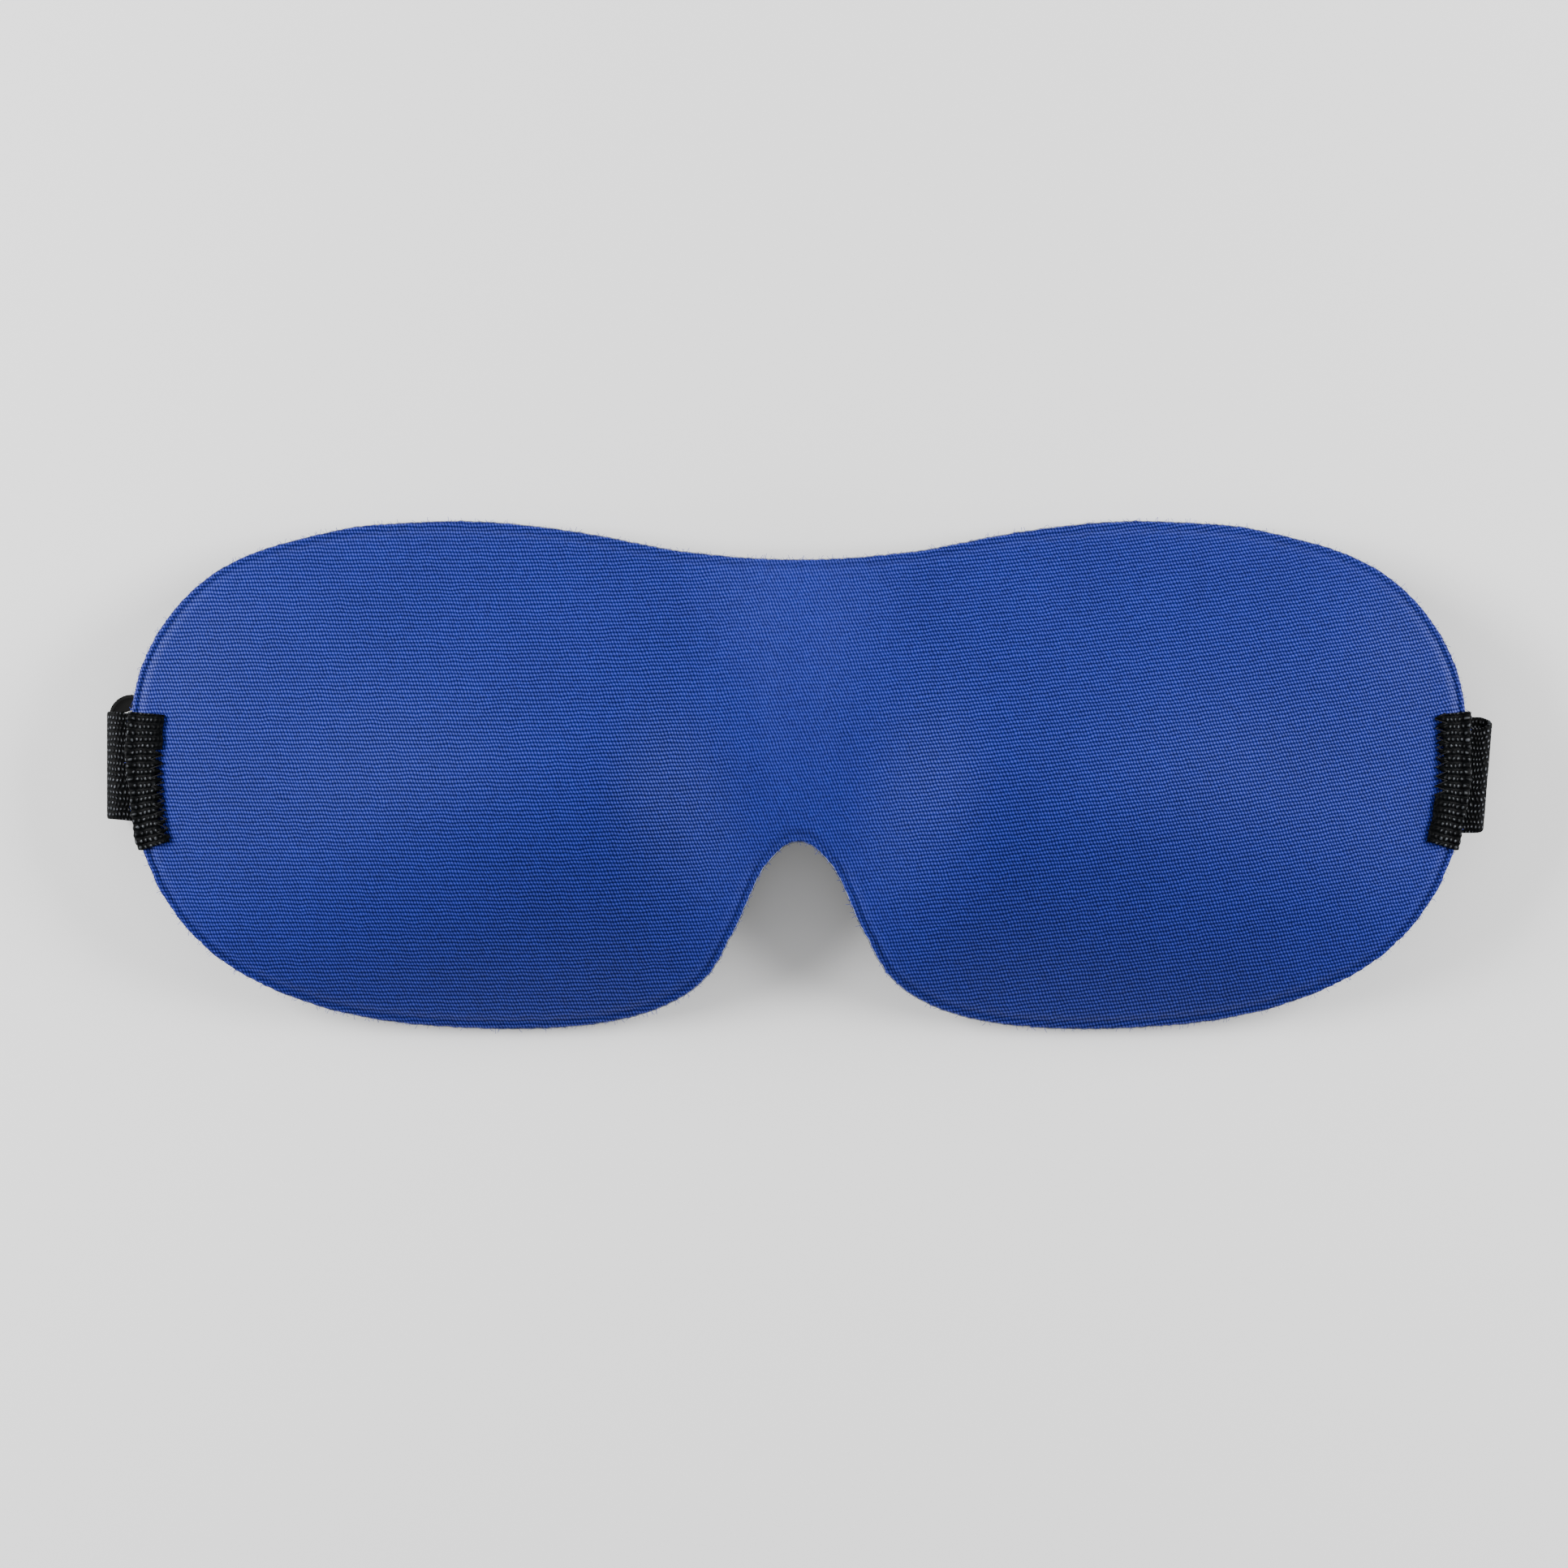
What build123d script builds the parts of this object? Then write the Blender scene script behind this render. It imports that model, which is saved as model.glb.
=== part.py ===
from build123d import *
import math
import os

import numpy as np

# Contoured sleep mask, lying on its back with the domed front facing +Z. X is its width, Y points to the
# wearer's forehead. The origin is the middle of the footprint, on the surface that it lies on. Millimetres.

# Mask body: right half of the outline, from the brow round the temple and cheek to the nose notch.
HALF_OUTLINE = [
    (0.0, 37.8),
    (20.0, 39.4),
    (40.0, 43.2),
    (61.0, 45.0),
    (84.0, 42.9),
    (103.0, 35.8),
    (114.2, 22.4),
    (117.5, 9.0),
    (114.6, -15.2),
    (104.0, -31.0),
    (85.0, -41.0),
    (57.0, -45.0),
    (30.0, -43.0),
    (17.2, -36.6),
    (11.4, -27.4),
    (5.5, -15.4),
    (0.0, -11.65),
]
HALF_HEIGHT = 45.0
SHEET_HALF_X, SHEET_HALF_Y = 126.0, 51.0  # the curved faces reach past the outline
BEYOND = 60.0  # longer than anything that is cut with it

# Form of the mask, as heights over the surface that it lies on.
TEMPLE_LIFT = 7.3  # underside in the middle of the mask, held up by the strap and its hardware
NOSE_ARCH = 3.0  # extra rise of the underside over the nose
NOSE_ARCH_WIDTH = 16.0
RIM = 2.2  # pressed edge
PUFF = 3.0  # extra foam thickness away from the pressed edge
PUFF_REACH = 12.0
DOME_OUT = 10.0  # rise of each dome over the rest of the front
DOME_IN = 9.5  # depth of each eye cup
OUT_INNER, OUT_TOP_A, OUT_TOP_B, OUT_OUTER = 5.0, 37.0, 40.0, 113.0
IN_INNER, IN_TOP_A, IN_TOP_B, IN_OUTER = 12.0, 36.0, 46.0, 92.0
DOME_Y = -4.0
OUT_HALF_Y, IN_HALF_Y = 41.0, 33.0

# Cloth and elastic.
KNIT = 0.6
LINING = 0.5
BOND = 0.05  # glue film between the layers
TAB = 0.8
ANCHOR = 0.8
STRAP = 1.0
THREAD = 0.3
STRAP_WIDTH = 19.0
STRAP_Y = 0.7
FOLD_X = 122.6  # outermost reach of the two elastic folds

# Edge tabs: corners of the left one in plan, the right one is its mirror image.
TAB_PLAN = [(-118.3, 11.1), (-112.1, 10.2), (-110.8, -13.0), (-115.5, -13.2)]

# Levels in the stack of strap, slider and ring.
RUN_Z = 3.7  # underside of the single run
RUN_START = -100.0  # where the two layers of the strap leave the turn round the ring
ANCHOR_Z = 0.6  # underside of the left loop
SEWN_X = 110.5  # inner end of the sewn elastic ends
SEWN_TOP = TEMPLE_LIFT - TAB

# Ring in the left loop: its long axis leans in plan.
RING_X, RING_Y, RING_Z = -115.68, 0.35, 2.35
RING_LEAN = 15.0
RING_END_RADIUS = 4.0
RING_END_OFFSET = 10.2
RING_SLOT_HALF = 11.4
RING_BAR_OFFSET = 2.05
BAR_RADIUS = 0.75
RING_THICKNESS = 1.8
RING_RIM = 0.35
RING_RIM_WIDTH = 0.6
PLAY = 0.33

# Slider on the strap.
SLIDER_X = 70.0
SLIDER_HALF_LENGTH = 12.6
SLIDER_RAIL = 2.6
SLIDER_HALF_WIDTH = 6.4
SLIDER_BAR_WIDTH = 2.4
SLIDER_PLATE = 1.3
MID_BAR_Z = 1.1
OUTER_BAR_Z = 4.9
SLIDER_CORNER = 2.2
LOOP_TAIL = 16.0
LOOP_GAP = 0.2  # between the top of the slider's loop and the run above it
BAR_GAP = 0.3  # between the slider's middle bar and the strap round it
BARTACK_FROM_BAR = 11.0
BARTACK_WIDTH = 1.8


def smooth(t):
    """Rises from 0 to 1 without a corner as t goes from 0 to 1."""
    t = min(max(t, 0.0), 1.0)
    return t * t * (3 - 2 * t)


def dome(x, y, inner, top_a, top_b, outer, half_y):
    """One bulge over each eye: steep towards the nose, slow towards the temple."""
    across = smooth((abs(x) - inner) / (top_a - inner)) * (1 - smooth((abs(x) - top_b) / (outer - top_b)))
    along = 1 - smooth(abs(y - DOME_Y) / half_y)
    return across * along


def half_edge():
    """Right half of the outline as one curve."""
    return Spline(*HALF_OUTLINE, tangents=[(1, 0), (-1, 0)])


def edge_samples():
    """Places along the whole outline, used to measure the distance from it."""
    curve = half_edge()
    right = [curve.position_at(i / 160) for i in range(161)]
    return np.array([(s * p.X, p.Y) for p in right for s in (1, -1)])


EDGE = edge_samples()


def puff(x, y):
    """Share of the full foam thickness: none at the pressed edge, all of it further in."""
    reach = np.hypot(EDGE[:, 0] - x, EDGE[:, 1] - y).min()
    return 1 - math.exp(-((reach / PUFF_REACH) ** 1.5))


def rim_height(x, y):
    """Underside of the pressed edge over the surface that the mask lies on."""
    lift = TEMPLE_LIFT * (1 - min(abs(y) / HALF_HEIGHT, 1.0) ** 4)
    return lift + NOSE_ARCH * math.exp(-((x / NOSE_ARCH_WIDTH) ** 2))


def front(x, y):
    """Height of the outer face."""
    bulge = DOME_OUT * dome(x, y, OUT_INNER, OUT_TOP_A, OUT_TOP_B, OUT_OUTER, OUT_HALF_Y)
    return rim_height(x, y) + RIM + PUFF * puff(x, y) + bulge


def back(x, y):
    """Height of the face that lies on the skin."""
    return rim_height(x, y) + DOME_IN * dome(x, y, IN_INNER, IN_TOP_A, IN_TOP_B, IN_OUTER, IN_HALF_Y)


def sheet(height):
    """A curved face over the whole footprint, at a height given by a formula."""
    columns = np.linspace(-SHEET_HALF_X, SHEET_HALF_X, 57)
    rows = np.linspace(-SHEET_HALF_Y, SHEET_HALF_Y, 25)
    grid = [[Vector(x, y, height(x, y)) for x in columns] for y in rows]
    return Face.make_surface_from_array_of_points(grid, tol=0.05, smoothing=(1, 1, 1), max_deg=8)


def raised(face, offset):
    """The same curved face, a little higher or lower."""
    return face.moved(Location((0, 0, offset)))


def under(face):
    """All the space under a curved face."""
    return Solid.extrude(face, Vector(0, 0, -BEYOND))


def between(plan, low, high):
    """The layer over a plan that lies between two curved faces."""
    block = rise(plan, -BEYOND / 4, BEYOND)
    return ((block & under(high)) - under(low)).solid()


def rise(plan, low, high):
    """Upright block over a plan, between two heights."""
    return extrude(plan, amount=high - low, dir=(0, 0, 1)).moved(Location((0, 0, low)))


def mask_plan():
    """Outline of the whole mask."""
    right = half_edge()
    left = right.mirror(Plane.YZ)
    return make_face(Wire([right.edge(), left.edge()]).edges())


def tab_plan(side):
    """Footprint of an edge tab, side -1 for the left one and 1 for the right one."""
    return make_face(Polyline(*[(-side * x, y) for x, y in TAB_PLAN], close=True))


def zigzag_plan(side):
    """Footprint of the zigzag row that holds a tab down."""
    pitch, swing, width, count = 1.6, 1.5, 0.35, 13
    start = 9.2
    near, far = [], []
    for i in range(count + 1):
        y = start - i * pitch
        x = 112.9 - 0.052 * i * pitch + (swing if i % 2 else 0.0)
        near.append((side * x, y))
        far.append((side * (x + width), y))
    return make_face(Polyline(*near, *reversed(far), close=True))


def leg_box(x_a, x_b, low, high):
    """Upright rectangle between two X values and two heights."""
    return Pos((x_a + x_b) / 2, (low + high) / 2) * Rectangle(abs(x_b - x_a), high - low)


def along_y(section, y_low, y_high, lean=0.0):
    """Pulls a section drawn in X and Z along Y; lean moves it in X as Y falls."""
    face = Plane(origin=(0, y_high, 0), x_dir=(1, 0, 0), z_dir=(0, -1, 0)) * section
    drop = y_high - y_low
    pull = Vector(drop * math.tan(math.radians(lean)), -drop, 0)
    return Part([Solid.extrude(f, pull) for f in face.faces()])


def slot_line(y, offset):
    """X of a line along the ring's slot: offset 0 is the near side of the anchored bar."""
    lean = math.radians(RING_LEAN)
    bar = RING_X - RING_BAR_OFFSET / math.cos(lean) - (y - RING_Y) * math.tan(lean)
    return bar + BAR_RADIUS / math.cos(lean) + offset


def left_of_slot(offset):
    """All the space to the left of a line along the ring's slot."""
    y_a, y_b = STRAP_WIDTH, -STRAP_WIDTH
    corners = [(-130, y_a), (slot_line(y_a, offset), y_a), (slot_line(y_b, offset), y_b), (-130, y_b)]
    return rise(make_face(Polyline(*corners, close=True)), -1, SEWN_TOP + 1)


def band_y():
    """The two edges of the elastic band."""
    return STRAP_Y - STRAP_WIDTH / 2, STRAP_Y + STRAP_WIDTH / 2


def folded_band(fold_x, inner_x, low, high, thick):
    """Section of a band folded on itself, and the section of the hollow inside it."""
    side = 1 if fold_x > inner_x else -1
    radius, mid = (high - low) / 2, (high + low) / 2
    turn = fold_x - side * radius
    shell = Pos(turn, mid) * Circle(radius) + leg_box(turn, inner_x, low, high)
    hollow = Pos(turn, mid) * Circle(radius - thick)
    hollow += leg_box(turn, inner_x - side, low + thick, high - thick)
    return shell, hollow


def make_anchor_loop():
    """Short elastic loop that is sewn to the back of the left tab and holds the ring."""
    shell, hollow = folded_band(-FOLD_X, -SEWN_X, ANCHOR_Z, SEWN_TOP, ANCHOR)
    loop = along_y(shell, *band_y()) & left_of_slot(PLAY + ANCHOR)
    loop -= along_y(hollow, *band_y()) & left_of_slot(PLAY)
    stub = along_y(leg_box(-FOLD_X + 3, -SEWN_X, SEWN_TOP - 2 * ANCHOR, SEWN_TOP), *band_y())
    return loop + (stub - left_of_slot(PLAY))


def make_head_strap():
    """Elastic band: sewn right end, fold, single run under the mask and the turn round the ring's bar."""
    shell, hollow = folded_band(FOLD_X, SEWN_X, RUN_Z, SEWN_TOP, STRAP)
    right = along_y(shell - hollow, *band_y())
    run = along_y(leg_box(RUN_START, SEWN_X + 1, RUN_Z, RUN_Z + STRAP), *band_y())
    return right + run + make_ring_turn()


def make_ring_turn():
    """The turn of the strap round the ring's free bar, with a short start of the returning layer."""
    fold = slot_line(band_y()[1], PLAY + ANCHOR + PLAY)
    shell, hollow = folded_band(fold, RUN_START + 9, 0, RUN_Z + STRAP, STRAP)
    leaning = along_y(shell - hollow, *band_y(), RING_LEAN)
    trim = Box(60, 60, 30, align=(Align.MAX, Align.CENTER, Align.CENTER)).moved(Location((RUN_START, 0, 0)))
    return leaning & trim


def make_doubled_run():
    """Returning layer of the strap, from the ring to the slider, lying on the surface below."""
    return along_y(leg_box(RUN_START, SLIDER_X - LOOP_TAIL, 0, STRAP), *band_y())


def make_slider_loop():
    """End of the strap: it goes round the slider's middle bar and is sewn down on itself."""
    top = RUN_Z - LOOP_GAP
    reach = SLIDER_BAR_WIDTH / 2 + BAR_GAP + top / 2
    neck, meet, tail = SLIDER_X - 3, SLIDER_X - 8, SLIDER_X - LOOP_TAIL
    shell, hollow = folded_band(SLIDER_X + reach, neck, 0, top, STRAP)
    corners = [
        (neck, top),
        (neck, top - STRAP),
        (meet, STRAP),
        (neck, STRAP),
        (neck, 0),
        (tail, 0),
        (tail, 2 * STRAP),
        (meet, 2 * STRAP),
    ]
    tapered = make_face(Polyline(*corners, close=True))
    return along_y(shell - hollow + tapered, *band_y())


def make_slider_bartack():
    """Dense row of thread that holds the sewn end of the strap."""
    y_low, y_high = band_y()
    x, half = SLIDER_X - BARTACK_FROM_BAR, BARTACK_WIDTH / 2
    return along_y(leg_box(x - half, x + half, 2 * STRAP, 2 * STRAP + THREAD), y_low + 1.5, y_high - 1.5)


def make_slider():
    """Bowed three-bar slider: the middle bar lies low and the outer bars pass over the strap."""
    w, p = SLIDER_HALF_WIDTH, SLIDER_PLATE
    high, low = OUTER_BAR_Z, MID_BAR_Z
    inner = w - SLIDER_BAR_WIDTH
    profile = make_face(
        Polyline(
            (-w, high),
            (-w, high + p),
            (-inner, high + p),
            (-SLIDER_BAR_WIDTH / 2, low + p),
            (SLIDER_BAR_WIDTH / 2, low + p),
            (inner, high + p),
            (w, high + p),
            (w, high),
            (inner + 0.2, high),
            (SLIDER_BAR_WIDTH / 2 + 0.3, low),
            (-SLIDER_BAR_WIDTH / 2 - 0.3, low),
            (-inner - 0.2, high),
            close=True,
        )
    )
    end = SLIDER_HALF_LENGTH
    rails = [along_y(profile, a, b) for a, b in ((end - SLIDER_RAIL, end), (-end, -end + SLIDER_RAIL))]
    bars = [
        leg_box(-w, -inner, high, high + p),
        leg_box(inner, w, high, high + p),
        leg_box(-SLIDER_BAR_WIDTH / 2, SLIDER_BAR_WIDTH / 2, low, low + p),
    ]
    body = rails[0] + rails[1]
    for bar in bars:
        body += along_y(bar, -end + 1, end - 1)
    corners = body.edges().filter_by(Axis.Z).filter_by(lambda e: abs(abs(e.center().X) - w) < 0.01)
    body = fillet(corners, SLIDER_CORNER)
    return body.moved(Location((SLIDER_X, STRAP_Y, 0)))


def make_ring():
    """Moulded ring: two bars between solid rounded ends with a raised rim."""
    end = RING_END_OFFSET
    plan = SlotCenterToCenter(2 * end, 2 * RING_END_RADIUS, rotation=90)
    plan -= Rectangle(20, 2 * RING_SLOT_HALF)
    plate = extrude(plan, amount=RING_THICKNESS / 2, both=True)
    top = RING_THICKNESS / 2
    dish = SlotCenterToCenter(2 * end, 2 * (RING_END_RADIUS - RING_RIM_WIDTH), rotation=90)
    dish -= Rectangle(20, 2 * (RING_SLOT_HALF + RING_RIM_WIDTH))
    plate -= extrude(dish, amount=RING_RIM).moved(Location((0, 0, top - RING_RIM)))
    length = 2 * RING_SLOT_HALF + 1.0
    bars = [
        Cylinder(BAR_RADIUS, length, rotation=(90, 0, 0)).moved(Location((side * RING_BAR_OFFSET, 0, 0)))
        for side in (-1, 1)
    ]
    ring = plate + bars[0] + bars[1]
    return ring.moved(Location((RING_X, RING_Y, RING_Z), (0, 0, RING_LEAN)))


def write(name, shape):
    """Saves one sub-part under its name and prints its volume."""
    solid = shape.solid()
    export_step(solid, f"parts/{name}.step")
    print(f"{name:24s} {solid.volume:10.1f} mm3  valid {solid.is_valid}")


def main():
    os.makedirs("parts", exist_ok=True)
    plan = mask_plan()
    face_front = sheet(front)
    face_back = sheet(back)
    foam_top = raised(face_front, -KNIT - BOND)
    foam_bottom = raised(face_back, LINING + BOND)
    write("outer_fabric", between(plan, raised(face_front, -KNIT), face_front))
    write("foam_core", between(plan, foam_bottom, foam_top))
    write("lining_fabric", between(plan, face_back, raised(face_back, LINING)))

    laminate = between(plan, face_back, face_front)
    tab_top = raised(face_front, TAB)
    tab_underside = raised(face_back, -TAB)
    thread_top = raised(tab_top, THREAD)
    tabs = {}
    for side, name in ((-1, "left"), (1, "right")):
        tabs[side] = between(tab_plan(side), tab_underside, tab_top) - laminate
        write(f"{name}_edge_tab", tabs[side])
        write(f"{name}_tab_stitching", between(zigzag_plan(side), tab_top, thread_top))

    write("left_anchor_loop", make_anchor_loop() - tabs[-1])
    write("head_strap", make_head_strap() - tabs[1])
    write("strap_doubled_run", make_doubled_run())
    write("strap_slider_loop", make_slider_loop())
    write("slider_bartack", make_slider_bartack())
    write("strap_slider", make_slider())
    write("strap_ring", make_ring())


main()
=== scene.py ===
# %% [markdown]
# # A contoured sleep mask, lying on its back
# The mask is a sandwich of blue knit, foam and black lining, pressed in a hot mould. The mould gives it two
# domes, a nose notch and a thin hard rim. Elastic tabs are folded over the rim at the temples, and a head
# strap with a ring and a slider runs underneath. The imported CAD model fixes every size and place. This
# lesson gives each piece its cloth, thread and plastic.

# %% Load the frame
import math

import bmesh
import bpy
import numpy as np
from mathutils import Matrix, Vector
from mathutils.kdtree import KDTree


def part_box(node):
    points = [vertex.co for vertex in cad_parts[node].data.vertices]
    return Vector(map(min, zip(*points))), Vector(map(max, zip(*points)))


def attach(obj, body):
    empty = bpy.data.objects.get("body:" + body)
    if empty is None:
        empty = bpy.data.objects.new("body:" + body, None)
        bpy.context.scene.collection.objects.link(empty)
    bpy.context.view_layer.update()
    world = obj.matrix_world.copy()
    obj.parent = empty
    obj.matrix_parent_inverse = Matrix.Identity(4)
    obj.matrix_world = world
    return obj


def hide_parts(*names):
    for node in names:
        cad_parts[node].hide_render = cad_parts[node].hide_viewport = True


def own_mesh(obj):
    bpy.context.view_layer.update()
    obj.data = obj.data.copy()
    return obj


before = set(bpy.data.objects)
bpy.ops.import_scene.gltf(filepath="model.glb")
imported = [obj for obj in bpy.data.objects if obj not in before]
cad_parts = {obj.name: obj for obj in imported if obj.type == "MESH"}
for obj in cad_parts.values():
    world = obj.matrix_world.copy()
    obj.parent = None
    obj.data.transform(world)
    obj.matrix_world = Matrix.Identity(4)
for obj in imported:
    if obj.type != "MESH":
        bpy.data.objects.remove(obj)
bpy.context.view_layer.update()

# %% [markdown]
# ## Measures
# Positions come from the CAD boxes, so a change of size there is followed here. Lengths in this script are
# in millimetres, and one constant turns them to Blender's metres when a mesh is written.

# %% Sizes
MM = 0.001


def box_mm(node):
    """Lowest and highest corner of a CAD node, in millimetres."""
    return tuple(np.array(corner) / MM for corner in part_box(node))


def show(thing):
    """Puts an object into the scene."""
    bpy.context.scene.collection.objects.link(thing)
    return thing


body_low, body_high = box_mm("outer_fabric")
HALF_WIDTH = (body_high[0] - body_low[0]) / 2
HALF_HEIGHT = (body_high[1] - body_low[1]) / 2
run_low, run_high = box_mm("head_strap")
KNIT, LINING, TAB, STRAP, ANCHOR = 0.6, 0.5, 0.8, 1.0, 0.8  # thickness of each cloth and band
GLUE_GAP = 0.02  # keeps two bonded faces out of one plane
print("mask body", round(2 * HALF_WIDTH, 1), "x", round(2 * HALF_HEIGHT, 1), "mm")

# %% [markdown]
# ## Outline
# The cut edge is one smooth closed curve. Half of it is enough, because the two sides are mirror images. It
# could be a Bezier curve object, but points on a spline worked out here can also be used to measure the
# distance from the edge, which the pressed rim needs. A Catmull-Rom spline goes through every point.

# %% Outline of the cut edge
BROW_TO_TEMPLE = [(0, 37.8), (20, 39.4), (40, 43.2), (61, 45.0), (84, 42.9), (103, 35.8)]
BROW_TO_TEMPLE += [(114.2, 22.4), (117.5, 9)]
TEMPLE_TO_NOSE = [(117.5, 9), (114.6, -15.2), (104, -31), (85, -41), (57, -45), (30, -43)]
TEMPLE_TO_NOSE += [(17.2, -36.6), (11.4, -27.4), (5.5, -15.4), (0, -11.65)]
COLUMNS = 232  # steps along each of the two curves


def catmull_rom(points, steps=40):
    """Dense points on a smooth curve through the given ones."""
    p = np.array(points, float)
    gap = np.linalg.norm(np.diff(p, axis=0), axis=1) ** 0.5
    out = []
    for i in range(1, len(p) - 2):
        a, b, c = gap[i - 1], gap[i], gap[i + 1]
        m1 = b * ((p[i] - p[i - 1]) / a - (p[i + 1] - p[i - 1]) / (a + b) + (p[i + 1] - p[i]) / b)
        m2 = b * ((p[i + 1] - p[i]) / b - (p[i + 2] - p[i]) / (b + c) + (p[i + 2] - p[i + 1]) / c)
        for t in np.arange(steps) / steps:
            h = (2 * t**3 - 3 * t**2 + 1, t**3 - 2 * t**2 + t, 3 * t**2 - 2 * t**3, t**3 - t**2)
            out.append(h[0] * p[i] + h[1] * m1 + h[2] * p[i + 1] + h[3] * m2)
    return np.array(out + [p[-2]])


def spaced(points, count):
    """The same curve with count + 1 points evenly spaced along it."""
    run = np.concatenate([[0], np.cumsum(np.linalg.norm(np.diff(points, axis=0), axis=1))])
    at = np.linspace(0, run[-1], count + 1)
    return np.stack([np.interp(at, run, points[:, k]) for k in range(points.shape[1])], axis=1)


def run_length(points):
    """Length of a line through the points."""
    return np.linalg.norm(np.diff(np.array(points), axis=0), axis=1).sum()


def half_curve(before, points, after):
    """Even points on the curve. One more point at each end sets the direction there."""
    return spaced(catmull_rom([before] + points + [after]), COLUMNS)


upper_half = half_curve((-20, 39.4), BROW_TO_TEMPLE, TEMPLE_TO_NOSE[1])
lower_half = half_curve(BROW_TO_TEMPLE[-2], TEMPLE_TO_NOSE, (-5.5, -15.4))[::-1]
print("edge length", round(2 * (run_length(upper_half) + run_length(lower_half))), "mm")

# %% [markdown]
# ## The form of the mask
# The mould's shape follows a rule, so it is written as height formulas and no sculpting is needed: the
# underside is lifted in the middle by the strap below it, it arches over the nose, and two domes rise over
# the eyes. Near the cut edge the press has crushed the foam to a thin rim with a groove beside it.

# %% Height formulas
TEMPLE_LIFT, NOSE_ARCH, NOSE_ARCH_WIDTH = 7.3, 3.0, 16.0
RIM, PUFF, PUFF_REACH = 2.2, 3.0, 12.0
DOME_OUT, DOME_IN, DOME_Y = 10.0, 9.5, -4.0
OUT_SPAN, IN_SPAN = (5.0, 37.0, 40.0, 113.0), (12.0, 36.0, 46.0, 92.0)  # start, top from and to, end
OUT_HALF_Y, IN_HALF_Y = 41.0, 33.0
CORNER_DEPTH, CORNER_REACH = 0.35, 0.35  # the cut edge, rounded by the press
GROOVE_DEPTH, GROOVE_AT, GROOVE_REACH = 0.30, 1.15, 0.55
SHOULDER, SHOULDER_FROM, SHOULDER_REACH = 0.30, 1.2, 1.6
UNEVEN = 0.10  # slow waves that a soft moulding keeps


def smooth(t):
    """Eased step from 0 to 1."""
    t = np.clip(t, 0, 1)
    return t * t * (3 - 2 * t)


def dome(x, y, span, half_y):
    """Share of a dome's full height at a place, on either side of the nose."""
    inner, top_a, top_b, outer = span
    out = np.abs(x)
    wide = smooth((out - inner) / (top_a - inner)) * (1 - smooth((out - top_b) / (outer - top_b)))
    return wide * (1 - smooth(np.abs(y - DOME_Y) / half_y))


def rim_height(x, y):
    """Height of the underside of the pressed rim."""
    lift = TEMPLE_LIFT * (1 - np.minimum(np.abs(y) / HALF_HEIGHT, 1) ** 4)
    return lift + NOSE_ARCH * np.exp(-((x / NOSE_ARCH_WIDTH) ** 2))


def press_profile(edge):
    """Height of the pressed border under the free foam, by distance from the cut edge."""
    corner = -CORNER_DEPTH * np.exp(-((edge / CORNER_REACH) ** 2))
    groove = -GROOVE_DEPTH * np.exp(-(((edge - GROOVE_AT) / GROOVE_REACH) ** 2))
    shoulder = SHOULDER * smooth((edge - SHOULDER_FROM) / SHOULDER_REACH) - SHOULDER
    return corner + groove + shoulder


def front(x, y, edge):
    """Height of the blue side."""
    puff = 1 - np.exp(-((edge / PUFF_REACH) ** 1.5))
    raised = DOME_OUT * dome(x, y, OUT_SPAN, OUT_HALF_Y)
    uneven = UNEVEN * np.sin(x / 9.0 + 0.6) * np.sin(y / 7.0 + 1.0) * smooth(edge / 8)
    return rim_height(x, y) + RIM + PUFF * puff + raised + press_profile(edge) + uneven


def back(x, y, edge):
    """Height of the side that lies on the face, with an eye cup behind each dome."""
    return rim_height(x, y) + DOME_IN * dome(x, y, IN_SPAN, IN_HALF_Y)


# %% [markdown]
# ## A mesh that follows the edge
# A square grid would cut the rim into steps. Here every column of points starts on the cut edge, goes
# inwards at a right angle for the width of the pressed rim, and then on to a line down the middle of the
# mask. The rows of faces near the edge therefore follow it exactly, which the groove and the stitches need.

# %% Plan of the mesh
RIM_STEPS = [0, 0.2, 0.4, 0.65, 0.9, 1.15, 1.4, 1.7, 2.05, 2.5, 3.0]
INNER_ROWS = 30
MIDDLE_END = 86  # how far out the middle line goes
MIDDLE_X, MIDDLE_Y = [0, 12, 28, 42, 60, 90], [13, 11.5, 5, -0.5, 0, 5]
KNIFE_STEP, KNIFE_DRIFT, DRIFT_COLUMNS = 0.045, 0.2, 17
UPPER_SEED, LOWER_SEED, DRIFT_SEED = 7, 8, 50
OUTSET_FADE = 2.5  # an outset dies out this far from the edge


def middle_line(count):
    """Points down the middle of the right half, that the columns run to."""
    x = np.linspace(0, MIDDLE_END, count + 1)
    return np.stack([x, np.interp(x, MIDDLE_X, MIDDLE_Y)], axis=1)


def inward(points, side):
    """Unit vectors that point from the cut edge into the cloth."""
    run = np.gradient(points, axis=0)
    run /= np.linalg.norm(run, axis=1)[:, None]
    return side * np.stack([run[:, 1], -run[:, 0]], axis=1)


def cut_wander(count, seed):
    """Small irregular steps of a knife through foam, from the first to the last column."""
    steps = np.random.default_rng(seed).normal(0, KNIFE_STEP, count)
    drift = np.random.default_rng(seed + DRIFT_SEED).normal(0, KNIFE_DRIFT, count + DRIFT_COLUMNS - 1)
    slow = np.convolve(drift, np.ones(DRIFT_COLUMNS) / DRIFT_COLUMNS, "valid")
    column = np.arange(count)
    return (steps + slow) * smooth(column / 4) * smooth(column[::-1] / 4)


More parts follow.
